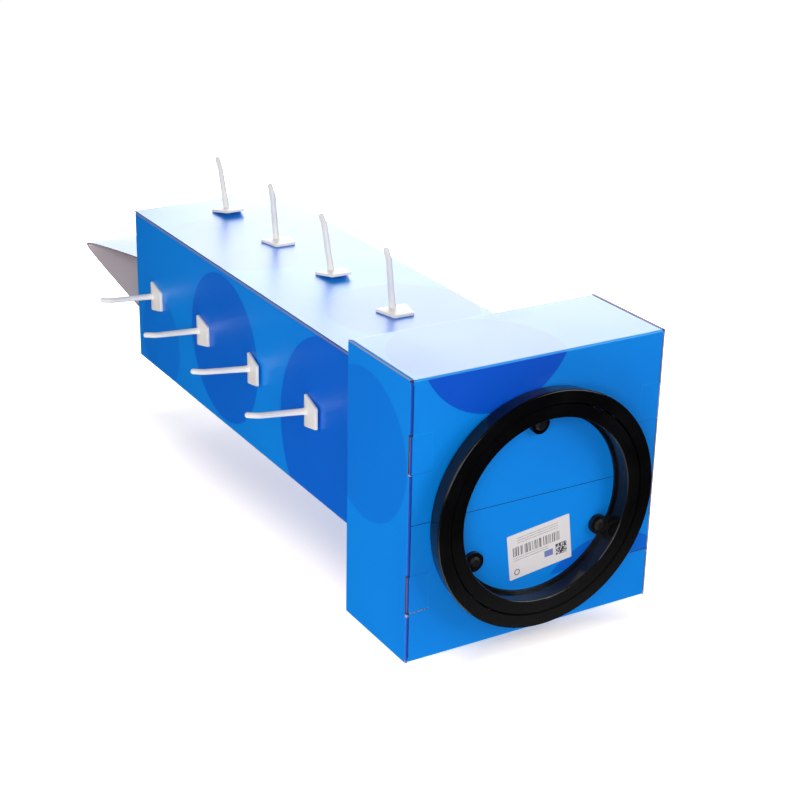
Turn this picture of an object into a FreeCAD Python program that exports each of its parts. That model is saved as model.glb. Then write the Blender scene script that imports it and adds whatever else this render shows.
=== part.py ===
import FreeCAD, Part
import math
import os

import Sketcher

# Counter-top hook stand of printed corrugated card: a folded base box on a ball-bearing
# turntable ring, a square folded column, sixteen plastic hooks and a tent-shaped header card.
# The stand is upright, +Z up the column, the front face looks along -Y, and the origin is on
# the surface it stands on, under the middle of the column. Lengths are in millimetres.

# Driving dimensions: alias, value and what it measures
SIZES = [
    ("board", 2.0, "thickness of the corrugated card"),
    ("fold_round", 1.6, "outside radius of a fold"),
    ("base_width", 227.0, "base box along X"),
    ("base_depth", 230.0, "base box along Y"),
    ("base_height", 93.5, "base box along Z"),
    ("flap_gap", 0.5, "slit round the bottom flaps"),
    ("lock_tab", 31.0, "length of a lock tab of the bottom flaps"),
    ("lock_place", 57.0, "from the seam of the flaps to the middle of a lock tab"),
    ("column_width", 153.5, "side of the square column"),
    ("column_rise", 502.0, "column above the top of the base box"),
    ("column_gap", 0.4, "play between the column and its hole in the base box"),
    ("seam_groove", 1.2, "groove beside the raw edge at the column's glued corner"),
    ("glue_flap", 22.0, "width of the glue flap inside the column"),
    ("header_board", 1.6, "thickness of the header card"),
    ("header_rise", 141.0, "ridge of the header above the column"),
    ("header_spread", 53.0, "between the outer faces of the header's legs"),
    ("header_knee", 9.0, "height above the column where the legs turn upright"),
    ("header_ridge", 4.0, "width of the rounded ridge"),
    ("ridge_round", 1.8, "outside radius of the ridge's two folds"),
    ("header_crease", 0.6, "width of the crease inside the ridge"),
    ("header_crown", 4.2, "from that crease up to the top of the ridge"),
    ("header_set", 2.0, "header's middle in front of the column's middle"),
    ("tongue_width", 120.0, "width of the header's two tongues"),
    ("tongue_depth", 18.0, "how far the tongues reach into the column"),
    ("slot_play", 0.3, "play round a tongue in its slot"),
    ("hook_rows", 4, "hooks on each face"),
    ("first_hook", 124.5, "from the top of the base box up to the lowest plate's middle"),
    ("top_hook", 50.5, "from the highest plate's middle up to the top of the column"),
    ("front_set", 3.5, "how far right of the middle the front and back hooks stand"),
    ("plate_top", 30.0, "top edge of a hook's plate"),
    ("plate_foot", 19.5, "bottom edge of a hook's plate"),
    ("plate_rise", 24.0, "height of a hook's plate"),
    ("plate_thick", 2.5, "thickness of a hook's plate"),
    ("plate_round", 1.8, "radius of the plate's corners"),
    ("plate_edge", 0.6, "radius round the plate's front face"),
    ("rod_radius", 2.6, "radius of a hook's rod"),
    ("rod_round", 2.3, "radius of the rounded end of the tip"),
    ("rod_drop", 3.6, "from the plate's top edge to the rod's axis"),
    ("rod_length", 41.5, "straight part of the rod, from the plate's back"),
    ("rod_angle", 13.0, "degrees by which the rod rises"),
    ("bend_radius", 12.0, "radius of the bend before the tip"),
    ("tip_length", 9.0, "straight part of the tip"),
    ("tip_angle", 35.0, "degrees by which the tip rises"),
    ("neck_radius", 1.7, "radius of the neck that passes through the column's wall"),
    ("neck_drop", 7.0, "from the plate's top edge to the neck's axis"),
    ("lock_width", 12.0, "length of the quarter-turn lock bar behind the wall"),
    ("lock_bar", 3.4, "height of the lock bar"),
    ("lock_thick", 2.3, "thickness of the lock bar"),
    ("lock_play", 1.7, "looseness of the lock bar behind the wall"),
    ("slit_width", 4.0, "width of a hook's slit in the column"),
    ("slit_spare", 0.8, "spare length of that slit past the lock bar"),
    ("hook_seat", 0.02, "air between a plate and the column"),
    ("ring_height", 17.0, "turntable, from the foot to the base box"),
    ("ring_set", 6.0, "turntable's middle behind the seam of the flaps"),
    ("ring_out", 11.4, "from the circle of balls out to the outer ring's foot"),
    ("foot_draft", 2.6, "how much narrower the outer ring is at its top"),
    ("foot_lift", 0.8, "air between the outer ring and the base box"),
    ("foot_drop", 0.8, "how much lower the outer ring is than the inner ring"),
    ("ring_round", 1.4, "radius of the rings' rounded edges"),
    ("race_radius", 86.6, "radius of the circle of balls"),
    ("race_gap", 1.2, "radial gap between the two rings"),
    ("ball_radius", 3.0, "radius of a ball"),
    ("ball_play", 0.3, "play round a ball in its race"),
    ("ball_count", 24, "balls in the race"),
    ("ring_in", 11.6, "from the circle of balls in to the inner ring's bore"),
    ("bore_wall", 2.2, "thickness of the inner ring's inner wall"),
    ("race_wall", 5.0, "thickness of the inner ring's race wall"),
    ("ring_floor", 2.4, "thickness of the inner ring's lower face"),
    ("lip_width", 2.0, "lip of the inner ring at the base box"),
    ("lip_thick", 2.0, "thickness of that lip"),
    ("lug_inset", 8.0, "from the bore in to the middles of the fastening lugs"),
    ("lug_radius", 8.0, "radius of a lug"),
    ("lug_thick", 4.0, "thickness of a lug"),
    ("lug_count", 3, "fastening lugs"),
    ("rivet_radius", 2.0, "radius of a rivet's shank"),
    ("rivet_play", 0.2, "play round a rivet's shank"),
    ("rivet_head", 5.0, "radius of a rivet's head"),
    ("rivet_flat", 3.0, "radius of the flat of a rivet's head"),
    ("rivet_crown", 1.8, "height of a rivet's head"),
    ("rivet_rim", 0.6, "height of the rim of a rivet's head"),
    ("rivet_barb", 3.2, "radius of a rivet's barb behind the card"),
    ("rivet_point", 1.4, "radius of a rivet's end"),
    ("rivet_tail", 4.0, "length of a rivet behind the card"),
    ("label_width", 58.0, "sticker along its long side"),
    ("label_depth", 39.0, "sticker along its short side"),
    ("label_thick", 0.2, "thickness of the sticker"),
    ("label_round", 1.0, "radius of the sticker's corners"),
    ("label_right", 5.5, "sticker's middle beside the middle of the base"),
    ("label_back", 45.5, "sticker's middle behind the seam of the flaps"),
]

# The column's faces, each a quarter turn from the one before
FACES = ("front", "right", "back", "left")
# How far each hook's plate leans out at its foot, in degrees, from the lowest row up
LEAN = {
    "front": (0.0, 5.0, 0.0, 6.0),
    "right": (2.0, 0.0, 4.0, 0.0),
    "back": (0.0, 3.0, 0.0, 5.0),
    "left": (4.0, 6.0, 0.0, 0.0),
}
LUG_TURN = -2.0
LABEL_TURN = -7.0
# Both rings and the lugs are laid out from the circle of balls
FOOT_RADIUS = "(race_radius + ring_out)"
BORE_RADIUS = "(race_radius - ring_in)"
LUG_CIRCLE = "(race_radius - ring_in - lug_inset)"
# The rows of hooks are spread evenly between the lowest and the highest
HOOK_PITCH = "((column_rise - first_hook - top_hook) / (hook_rows - 1))"

doc = FreeCAD.newDocument("hook_stand")
sheet = doc.addObject("Spreadsheet::Sheet", "sheet")
for row, (alias, size, meaning) in enumerate(SIZES, start=1):
    sheet.set(f"A{row}", meaning)
    sheet.set(f"B{row}", str(size))
    sheet.setAlias(f"B{row}", alias)
doc.recompute()


def value(formula):
    """The present value of a formula written in the sheet's aliases."""
    return float(sheet.evalExpression(formula))


def bound(formula):
    """The same formula as another object reads it, with each alias taken from the sheet."""
    words = []
    word = ""
    for letter in formula + " ":
        if letter.isalnum() or letter == "_":
            word += letter
            continue
        words.append(f"sheet.{word}" if word in ALIASES else word)
        words.append(letter)
        word = ""
    return "".join(words).strip()


ALIASES = {alias for alias, _, _ in SIZES}


# Bodies, sketches and features
def new_body(name):
    body = doc.addObject("PartDesign::Body", name)
    body.Label = name
    return body


def new_sketch(body, role, name, lift=None):
    """A sketch on one of the body's own planes, raised along its normal by a formula."""
    sketch = body.newObject("Sketcher::SketchObject", name)
    plane = next(part for part in body.Origin.OriginFeatures if part.Role == role)
    sketch.AttachmentSupport = [(plane, "")]
    sketch.MapMode = "FlatFace"
    if lift is not None:
        sketch.setExpression("AttachmentOffset.Base.z", bound(lift))
    return sketch


def hold(sketch, kind, *parts, formula):
    """One dimension of a sketch, bound to a formula."""
    number = sketch.addConstraint(Sketcher.Constraint(kind, *parts, value(formula)))
    name = f"size{number}"
    sketch.renameConstraint(number, name)
    sketch.setExpression(f"Constraints.{name}", bound(formula))


def hold_point(sketch, edge, end, across, up):
    """One point of a sketch, by its two distances from the origin."""
    for kind, axis, formula in (("DistanceX", -2, across), ("DistanceY", -1, up)):
        if formula == "0":
            sketch.addConstraint(Sketcher.Constraint("PointOnObject", edge, end, axis))
        else:
            hold(sketch, kind, -1, 1, edge, end, formula=formula)


def polygon(sketch, corners):
    """A closed outline through the corners, each given as two formulas."""
    first = sketch.GeometryCount
    places = [FreeCAD.Vector(value(across), value(up), 0) for across, up in corners]
    count = len(places)
    for number in range(count):
        sketch.addGeometry(Part.LineSegment(places[number], places[(number + 1) % count]))
    for number in range(count):
        after = first + (number + 1) % count
        sketch.addConstraint(Sketcher.Constraint("Coincident", first + number, 2, after, 1))
    for number, (across, up) in enumerate(corners):
        hold_point(sketch, first + number, 1, across, up)


def rectangle(sketch, left, right, low, high):
    polygon(sketch, [(left, low), (right, low), (right, high), (left, high)])


def circle(sketch, across, up, radius):
    centre = FreeCAD.Vector(value(across), value(up), 0)
    number = sketch.addGeometry(Part.Circle(centre, FreeCAD.Vector(0, 0, 1), value(radius)))
    hold_point(sketch, number, 3, across, up)
    hold(sketch, "Radius", number, formula=radius)


def pad(body, sketch, name, length, back=False, both=False):
    feature = body.newObject("PartDesign::Pad", name)
    feature.Profile = sketch
    feature.Reversed = back
    if both:
        feature.SideType = "Symmetric"
    feature.setExpression("Length", bound(length))
    return feature


def pocket(body, sketch, name, length=None, back=False):
    """A cut of a given depth, or right through both ways where no depth is given."""
    feature = body.newObject("PartDesign::Pocket", name)
    feature.Profile = sketch
    feature.Reversed = back
    if length is None:
        feature.Type = "ThroughAll"
        feature.SideType = "Symmetric"
    else:
        feature.setExpression("Length", bound(length))
    return feature


def turned(body, sketch, name, kind="PartDesign::Revolution"):
    """A profile turned a full circle round the sketch's upright axis."""
    feature = body.newObject(kind, name)
    feature.Profile = sketch
    feature.ReferenceAxis = (sketch, ["V_Axis"])
    feature.Angle = 360.0
    return feature


def around(body, features, name, count):
    """Copies of features spread evenly round the body's Z axis."""
    feature = body.newObject("PartDesign::PolarPattern", name)
    feature.Originals = features
    axis = next(part for part in body.Origin.OriginFeatures if part.Role == "Z_Axis")
    feature.Axis = (axis, [""])
    feature.Angle = 360.0
    feature.setExpression("Occurrences", bound(count))
    body.Tip = feature
    return feature


def rounded(body, base, name, radius, chosen, kind="PartDesign::Fillet"):
    """A fillet on the edges of base that the test picks out by their middle point."""
    doc.recompute()
    edges = []
    for number, edge in enumerate(base.Shape.Edges, start=1):
        if chosen(edge):
            edges.append(f"Edge{number}")
    if not edges:
        raise RuntimeError(f"{name} found no edge")
    feature = body.newObject(kind, name)
    feature.Base = (base, edges)
    feature.setExpression("Radius", bound(radius))
    return feature


def middle(edge):
    return edge.valueAt((edge.FirstParameter + edge.LastParameter) / 2)


def upright(edge):
    """A straight edge along Z."""
    if edge.Curve.TypeId != "Part::GeomLine":
        return False
    return abs(edge.tangentAt(edge.FirstParameter).z) > 0.999


def near(number, target):
    return abs(number - target) < 0.01


def place(body, across="0", back="0", up="0"):
    body.setExpression("Placement.Base.x", bound(across))
    body.setExpression("Placement.Base.y", bound(back))
    body.setExpression("Placement.Base.z", bound(up))


# Base box
def make_base_box():
    """One folded blank: a wrap with rounded folds between two flat side panels."""
    body = new_body("base_box")
    half_wrap = "(base_width / 2 - board)"
    half_depth = "base_depth / 2"
    wrap_sketch = new_sketch(body, "XY_Plane", "wrap_outline")
    rectangle(wrap_sketch, f"-{half_wrap}", half_wrap, f"-({half_depth})", half_depth)
    wrap = pad(body, wrap_sketch, "wrap", "base_height")
    depth = value(half_depth)
    height = value("base_height")

    def fold(edge):
        point = middle(edge)
        at_wall = near(abs(point.y), depth)
        return at_wall and (upright(edge) or near(point.z, 0) or near(point.z, height))

    folds = rounded(body, wrap, "wrap_folds", "fold_round", fold)

    side_sketch = new_sketch(body, "XY_Plane", "side_outline")
    for left, right in ((half_wrap, "base_width / 2"), ("-(base_width / 2)", f"-{half_wrap}")):
        rectangle(side_sketch, left, right, f"-({half_depth})", half_depth)
    sides = pad(body, side_sketch, "side_panels", "base_height")
    half_width = value("base_width / 2")

    def side_fold(edge):
        point = middle(edge)
        return near(abs(point.x), half_width) and (near(point.z, 0) or near(point.z, height))

    side_folds = rounded(body, sides, "side_folds", "fold_round", side_fold)

    hollow_sketch = new_sketch(body, "XY_Plane", "hollow_outline", "board")
    inner = f"({half_wrap} - board)"
    inner_depth = f"({half_depth} - board)"
    rectangle(hollow_sketch, f"-{inner}", inner, f"-{inner_depth}", inner_depth)
    doc.recompute()
    solid = side_folds.Shape.Volume
    hollow = pocket(body, hollow_sketch, "hollow", "base_height - 2 * board", back=True)
    doc.recompute()
    lost = solid - hollow.Shape.Volume
    if not lost > 0:
        raise RuntimeError("the hollow of the base box points away from it")

    hole_sketch = new_sketch(body, "XY_Plane", "column_hole_outline", "base_height")
    hole = "(column_width / 2 + column_gap)"
    rectangle(hole_sketch, f"-{hole}", hole, f"-{hole}", hole)
    pocket(body, hole_sketch, "column_hole", "board")

    # The seam where the two bottom flaps meet, and the slits between the flaps and the side
    # panels, which step outwards round each lock tab
    slit_sketch = new_sketch(body, "XY_Plane", "slit_outline")
    rectangle(slit_sketch, f"-{half_wrap}", half_wrap, "-flap_gap / 2", "flap_gap / 2")
    pocket(body, slit_sketch, "flap_seam", "board", back=True)
    for side, sign in (("right", ""), ("left", "-")):
        for flap, front in (("front", "-"), ("back", "")):
            near_end = f"{front}(lock_place - lock_tab / 2)"
            far_end = f"{front}(lock_place + lock_tab / 2)"
            edge = f"{sign}{half_wrap}"
            inside = f"{sign}({half_wrap} - flap_gap)"
            outside = f"{sign}(base_width / 2)"
            # the slit runs from the seam along the panel, round the tab and on to the fold
            slit = new_sketch(body, "XY_Plane", f"{flap}_{side}_slit_outline")
            past_near = f"{front}(lock_place - lock_tab / 2 - flap_gap)"
            past_far = f"{front}(lock_place + lock_tab / 2 + flap_gap)"
            start = f"{front}(flap_gap / 2)"
            end = f"{front}({half_depth} - 2 * board)"
            polygon(slit, [(inside, start), (edge, start), (edge, past_near), (outside, past_near),
                           (outside, near_end), (inside, near_end)])
            polygon(slit, [(inside, far_end), (outside, far_end), (outside, past_far),
                           (edge, past_far), (edge, end), (inside, end)])
            pocket(body, slit, f"{flap}_{side}_slit", "board", back=True)

    rivet_sketch = new_sketch(body, "XY_Plane", "rivet_hole_outline")
    for number in range(int(value("lug_count"))):
        angle = f"({LUG_TURN - 90} + 360 / lug_count * {number})"
        across = f"({LUG_CIRCLE} * cos({angle} * 1 deg))"
        back = f"(ring_set + {LUG_CIRCLE} * sin({angle} * 1 deg))"
        circle(rivet_sketch, across, back, "rivet_radius + rivet_play")
    pocket(body, rivet_sketch, "rivet_holes", "board", back=True)
    place(body, up="ring_height")
    return body


# Column
def make_column():
    """A square tube folded from one blank, glued at its front left corner, closed on top."""
    body = new_body("column")
    half = "column_width / 2"
    length = "(column_rise + base_height - board)"
    outline = new_sketch(body, "XY_Plane", "tube_outline")
    groove_far = f"-({half} - seam_groove)"
    polygon(outline, [
        (f"-({half})", f"-({half})"),
        (half, f"-({half})"),
        (half, half),
        (f"-({half})", half),
        (f"-({half})", f"-({half} - board - seam_groove)"),
        (groove_far, f"-({half} - board)"),
        (f"-({half})", f"-({half} - board)"),
    ])
    tube = pad(body, outline, "tube", length)
    corner = value(half)

    def fold(edge):
        point = middle(edge)
        folded = near(abs(point.x), corner) and near(abs(point.y), corner)
        return upright(edge) and folded and not (point.x < 0 and point.y < 0)

    rounded(body, tube, "tube_folds", "fold_round", fold)
    # The hollow leaves the glue flap standing behind the front panel
    hollow_sketch = new_sketch(body, "XY_Plane", "tube_hollow_outline")
    inner = f"({half} - board)"
    flap_end = f"-({inner} - glue_flap)"
    polygon(hollow_sketch, [
        (flap_end, f"-{inner}"),
        (inner, f"-{inner}"),
        (inner, inner),
        (f"-{inner}", inner),
        (f"-{inner}", f"-({inner} - board)"),
        (flap_end, f"-({inner} - board)"),
    ])
    pocket(body, hollow_sketch, "tube_hollow", f"{length} - board", back=True)

    slot_sketch = new_sketch(body, "XY_Plane", "header_slot_outline", length)
    reach = "(tongue_width / 2 + slot_play)"
    front_face = "(header_spread / 2 + slot_play)"
    back_face = "(header_spread / 2 - header_board - slot_play)"
    rectangle(slot_sketch, f"-{reach}", reach, f"-header_set - {front_face}",
              f"-header_set - {back_face}")
    rectangle(slot_sketch, f"-{reach}", reach, f"-header_set + {back_face}",
              f"-header_set + {front_face}")
    pocket(body, slot_sketch, "header_slots", "board")

    # One slit across the tube for the lowest row, both ways, then the rows above it
    cuts = []
    slit_half = "slit_width / 2"
    slit_reach = "(lock_width / 2 + slit_spare)"
    slit_middle = "(base_height + first_hook - board + plate_rise / 2 - neck_drop)"
    for role, name, across in (("XZ_Plane", "front_back_slits", "front_set"),
                               ("YZ_Plane", "left_right_slits", "0")):
        slit = new_sketch(body, role, f"{name}_outline")
        rectangle(slit, f"{across} - {slit_half}", f"{across} + {slit_half}",
                  f"{slit_middle} - {slit_reach}", f"{slit_middle} + {slit_reach}")
        cuts.append(pocket(body, slit, name))
    rows = body.newObject("PartDesign::LinearPattern", "slit_rows")
    rows.Originals = cuts
    rows.Direction = (cuts[0].Profile[0], ["V_Axis"])
    rows.Mode = "Spacing"
    rows.setExpression("Offset", bound(HOOK_PITCH))
    rows.setExpression("Occurrences", bound("hook_rows"))
    body.Tip = rows
    place(body, up="ring_height + board")
    return body


# Header card
def make_header_card():
    """One card folded over a rounded ridge, with a tongue at the foot of each leg."""
    body = new_body("header_card")
    foot = "header_spread / 2"
    ridge = "header_ridge / 2"
    outline = new_sketch(body, "YZ_Plane", "tent_outline")
    polygon(outline, [
        (f"-({foot})", "-tongue_depth"),
        (f"-({foot} - header_board)", "-tongue_depth"),
        (f"-({foot} - header_board)", "header_knee"),
        ("-header_crease / 2", "header_rise - header_crown"),
        ("header_crease / 2", "header_rise - header_crown"),
        (f"({foot} - header_board)", "header_knee"),
        (f"({foot} - header_board)", "-tongue_depth"),
        (foot, "-tongue_depth"),
        (foot, "header_knee"),
        (ridge, "header_rise"),
        (f"-({ridge})", "header_rise"),
        (f"-({foot})", "header_knee"),
    ])
    tent = pad(body, outline, "tent", "column_width", both=True)
    top = value("header_rise")

    def ridge_edge(edge):
        point = middle(edge)
        return near(point.z, top) and near(point.x, 0)

    rounded(body, tent, "ridge_fold", "min(ridge_round; header_ridge / 2.1)", ridge_edge)
    shoulder = new_sketch(body, "XZ_Plane", "shoulder_outline")
    reach = "tongue_width / 2"
    past = "(column_width / 2 + board)"
    for left, right in ((f"-{past}", f"-({reach})"), (reach, past)):
        rectangle(shoulder, left, right, "-(tongue_depth + board)", "hook_seat")
    pocket(body, shoulder, "shoulders")
    place(body, back="-header_set", up="ring_height + base_height + column_rise")
    return body


# Hooks
def make_hook(face, row):
    """A moulded hook: plate, rising rod with a bent tip, and a quarter-turn lock behind."""
    name = f"hook_{face}_{row + 1}"
    body = new_body(name)
    plate_outline = new_sketch(body, "XZ_Plane", f"{name}_plate_outline")
    polygon(plate_outline, [
        ("-plate_top / 2", "0"),
        ("plate_top / 2", "0"),
        ("plate_foot / 2", "-plate_rise"),
        ("-plate_foot / 2", "-plate_rise"),
    ])
    plate = pad(body, plate_outline, f"{name}_plate", "plate_thick")

    def plate_corner(edge):
        if edge.Curve.TypeId != "Part::GeomLine":
            return False
        return abs(edge.tangentAt(edge.FirstParameter).y) > 0.999

    corners = rounded(body, plate, f"{name}_corners", "plate_round", plate_corner)
    face_place = -value("plate_thick")
    rims = rounded(body, corners, f"{name}_rim", "plate_edge",
                   lambda edge: near(middle(edge).y, face_place))

    # The rod's line: from the plate's back, straight, a bend, and the straight tip
    rise = "(rod_angle * 1 deg)"
    steep = "(tip_angle * 1 deg)"
    start = ("-plate_thick / 2", "-rod_drop")
    bend_in = (f"-(rod_length * cos{rise})", f"-rod_drop + rod_length * sin{rise}")
    bend_out = (f"{bend_in[0]} - bend_radius * (sin{steep} - sin{rise})",
                f"{bend_in[1]} + bend_radius * (cos{rise} - cos{steep})")
    tip = (f"{bend_out[0]} - tip_length * cos{steep}", f"{bend_out[1]} + tip_length * sin{steep}")
    line = new_sketch(body, "YZ_Plane", f"{name}_rod_line")
    spots = [FreeCAD.Vector(value(across), value(up), 0)
             for across, up in (start, bend_in, bend_out, tip)]
    bend = value("bend_radius")
    slope = math.radians(value("rod_angle"))
    centre = spots[1] + FreeCAD.Vector(math.sin(slope), math.cos(slope), 0) * bend
    sides = [math.atan2(spot.y - centre.y, spot.x - centre.x) for spot in (spots[2], spots[1])]
    round_bend = Part.ArcOfCircle(Part.Circle(centre, FreeCAD.Vector(0, 0, 1), bend), *sides)
    line.addGeometry(Part.LineSegment(spots[0], spots[1]))
    line.addGeometry(round_bend)
    line.addGeometry(Part.LineSegment(spots[2], spots[3]))
    line.addConstraint(Sketcher.Constraint("Coincident", 0, 2, 1, 2))
    line.addConstraint(Sketcher.Constraint("Coincident", 1, 1, 2, 1))
    hold_point(line, 0, 1, *start)
    hold_point(line, 0, 2, *bend_in)
    hold_point(line, 2, 1, *bend_out)
    hold_point(line, 2, 2, *tip)
    hold(line, "Radius", 1, formula="bend_radius")
    doc.recompute()
    section = body.newObject("Sketcher::SketchObject", f"{name}_rod_section")
    section.AttachmentSupport = [(line, "Edge1")]
    section.MapMode = "NormalToEdge"
    circle(section, "0", "0", "rod_radius")
    rod = body.newObject("PartDesign::AdditivePipe", f"{name}_rod")
    rod.Profile = section
    rod.Spine = (line, ["Edge1", "Edge2", "Edge3"])
    tip_place = spots[3]
    near_tip = 2 * value("rod_radius")

    def tip_rim(edge):
        if edge.Curve.TypeId != "Part::GeomCircle" or not edge.isClosed():
            return False
        away = edge.Curve.Center - FreeCAD.Vector(0, tip_place.x, tip_place.y)
        return away.Length < near_tip / 4

    rounded(body, rod, f"{name}_tip_round", "min(rod_round; rod_radius / 1.05)", tip_rim)

    # Neck and lock bar behind the plate
    reach = "(board + lock_play)"
    neck_outline = new_sketch(body, "XZ_Plane", f"{name}_neck_outline")
    circle(neck_outline, "0", "-neck_drop", "neck_radius")
    pad(body, neck_outline, f"{name}_neck", f"{reach} + lock_thick / 2", back=True)
    bar_outline = new_sketch(body, "XZ_Plane", f"{name}_bar_outline", f"-{reach}")
    rectangle(bar_outline, "-lock_width / 2", "lock_width / 2", "-neck_drop - lock_bar / 2",
              "-neck_drop + lock_bar / 2")
    pad(body, bar_outline, f"{name}_bar", "lock_thick", back=True)

    turn = FreeCAD.Rotation(FreeCAD.Vector(0, 0, 1), 360.0 / len(FACES) * FACES.index(face))
    lean = FreeCAD.Rotation(FreeCAD.Vector(1, 0, 0), -LEAN[face][row])
    body.Placement.Rotation = turn * lean
    outward = turn.multVec(FreeCAD.Vector(0, -1, 0))
    away = "(column_width / 2 + hook_seat)"
    beside = " + front_set" if face in ("front", "back") else ""
    place(
        body,
        across=f"{away} * {round(outward.x)}{beside}",
        back=f"{away} * {round(outward.y)}",
        up=f"ring_height + base_height + first_hook + plate_rise / 2 + {HOOK_PITCH} * {row}",
    )
    return body


# Turntable
def make_outer_ring():
    """The foot: a turned ring with half of the ball race in its inner wall."""
    body = new_body("turntable_outer_ring")
    profile = new_sketch(body, "XZ_Plane", "outer_ring_profile")
    top = "(ring_height - foot_lift)"
    inner = "(race_radius + race_gap / 2)"
    polygon(profile, [
        (inner, "0"),
        (FOOT_RADIUS, "0"),
        (f"{FOOT_RADIUS} - foot_draft", top),
        (inner, top),
    ])
    ring = turned(body, profile, "outer_ring_turned")
    race = new_sketch(body, "XZ_Plane", "outer_race_profile")
    circle(race, "race_radius", "ring_height / 2", "ball_radius + ball_play")
    groove = turned(body, race, "outer_race", "PartDesign::Groove")
    doc.recompute()
    if not groove.Shape.Volume < ring.Shape.Volume:
        raise RuntimeError("the outer race cuts nothing")
    foot = value(FOOT_RADIUS)
    shoulder = value(f"{FOOT_RADIUS} - foot_draft")

    def rim(edge):
        if edge.Curve.TypeId != "Part::GeomCircle":
            return False
        return near(edge.Curve.Radius, foot) or near(edge.Curve.Radius, shoulder)

    rounded(body, groove, "outer_ring_rims", "ring_round", rim)
    place(body, back="ring_set")
    return body


def make_inner_ring():
    """The ring that carries the stand: a channel with a lip and three fastening lugs."""
    body = new_body("turntable_inner_ring")
    profile = new_sketch(body, "XZ_Plane", "inner_ring_profile")
    outer = "(race_radius - race_gap / 2)"
    floor = "(foot_drop + ring_floor)"
    polygon(profile, [
        (BORE_RADIUS, "foot_drop"),
        (outer, "foot_drop"),
        (outer, "ring_height"),
        (f"{outer} - race_wall", "ring_height"),
        (f"{outer} - race_wall", floor),
        (f"{BORE_RADIUS} + bore_wall", floor),
        (f"{BORE_RADIUS} + bore_wall", "ring_height"),
        (f"{BORE_RADIUS} - lip_width", "ring_height"),
        (f"{BORE_RADIUS} - lip_width", "ring_height - lip_thick"),
        (BORE_RADIUS, "ring_height - lip_thick"),
    ])
    ring = turned(body, profile, "inner_ring_turned")
    race = new_sketch(body, "XZ_Plane", "inner_race_profile")
    circle(race, "race_radius", "ring_height / 2", "ball_radius + ball_play")
    groove = turned(body, race, "inner_race", "PartDesign::Groove")
    doc.recompute()
    if not groove.Shape.Volume < ring.Shape.Volume:
        raise RuntimeError("the inner race cuts nothing")
    bore = value(BORE_RADIUS)
    low = value("foot_drop")

    def rim(edge):
        if edge.Curve.TypeId != "Part::GeomCircle":
            return False
        return near(edge.Curve.Radius, bore) and near(edge.Curve.Center.z, low)

    rounded(body, groove, "inner_ring_rim", "ring_round", rim)
    lug_sketch = new_sketch(body, "XY_Plane", "lug_outline", "ring_height - lug_thick")
    circle(lug_sketch, "0", f"-{LUG_CIRCLE}", "lug_radius")
    lug = pad(body, lug_sketch, "lug", "lug_thick")
    lugs = around(body, [lug], "lugs", "lug_count")
    hole_sketch = new_sketch(body, "XY_Plane", "lug_hole_outline", "ring_height")
    circle(hole_sketch, "0", f"-{LUG_CIRCLE}", "rivet_radius + rivet_play")
    hole = pocket(body, hole_sketch, "lug_hole", "lug_thick")
    doc.recompute()
    if not hole.Shape.Volume < lugs.Shape.Volume:
        raise RuntimeError("the lug's hole cuts nothing")
    around(body, [hole], "lug_holes", "lug_count")
    body.Placement.Rotation = FreeCAD.Rotation(FreeCAD.Vector(0, 0, 1), LUG_TURN)
    place(body, back="ring_set")
    return body


def make_balls():
    """The ring of balls between the two rings, each a solid of its own."""
    body = new_body("bearing_balls")
    profile = new_sketch(body, "XZ_Plane", "ball_profile")
    low = FreeCAD.Vector(value("race_radius"), value("ring_height / 2 - ball_radius"), 0)
    high = FreeCAD.Vector(value("race_radius"), value("ring_height / 2 + ball_radius"), 0)
    side = FreeCAD.Vector(value("race_radius + ball_radius"), value("ring_height / 2"), 0)
    profile.addGeometry(Part.LineSegment(high, low))
    profile.addGeometry(Part.Arc(low, side, high))
    profile.addConstraint(Sketcher.Constraint("Coincident", 0, 2, 1, 1))
    profile.addConstraint(Sketcher.Constraint("Coincident", 0, 1, 1, 2))
    hold_point(profile, 0, 1, "race_radius", "ring_height / 2 + ball_radius")
    hold_point(profile, 0, 2, "race_radius", "ring_height / 2 - ball_radius")
    hold(profile, "DistanceX", -1, 1, 1, 3, formula="race_radius")
    ball = body.newObject("PartDesign::Revolution", "ball")
    ball.Profile = profile
    ball.ReferenceAxis = (profile, ["Edge1"])
    ball.Angle = 360.0
    around(body, [ball], "balls", "ball_count")
    place(body, back="ring_set")
    return body


def make_rivets():
    """Push rivets: a low head under the lug, a shank through the card and a barb above it."""
    body = new_body("lug_rivets")
    profile = new_sketch(body, "XZ_Plane", "rivet_profile")
    seat = "(ring_height - lug_thick)"
    card = "(ring_height + board)"
    middle_line = LUG_CIRCLE
    polygon(profile, [
        (middle_line, f"{seat} - rivet_crown"),
        (f"{middle_line} + rivet_flat", f"{seat} - rivet_crown"),
        (f"{middle_line} + rivet_head", f"{seat} - rivet_rim"),
        (f"{middle_line} + rivet_head", seat),
        (f"{middle_line} + rivet_radius", seat),
        (f"{middle_line} + rivet_radius", f"{card} + rivet_play"),
        (f"{middle_line} + rivet_barb", f"{card} + rivet_play"),
        (f"{middle_line} + rivet_point", f"{card} + rivet_tail"),
        (middle_line, f"{card} + rivet_tail"),
    ])
    rivet = body.newObject("PartDesign::Revolution", "rivet")
    rivet.Profile = profile
    rivet.ReferenceAxis = (profile, ["Edge9"])
    rivet.Angle = 360.0
    around(body, [rivet], "rivets", "lug_count")
    body.Placement.Rotation = FreeCAD.Rotation(FreeCAD.Vector(0, 0, 1), LUG_TURN - 90)
    place(body, back="ring_set")
    return body


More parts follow.
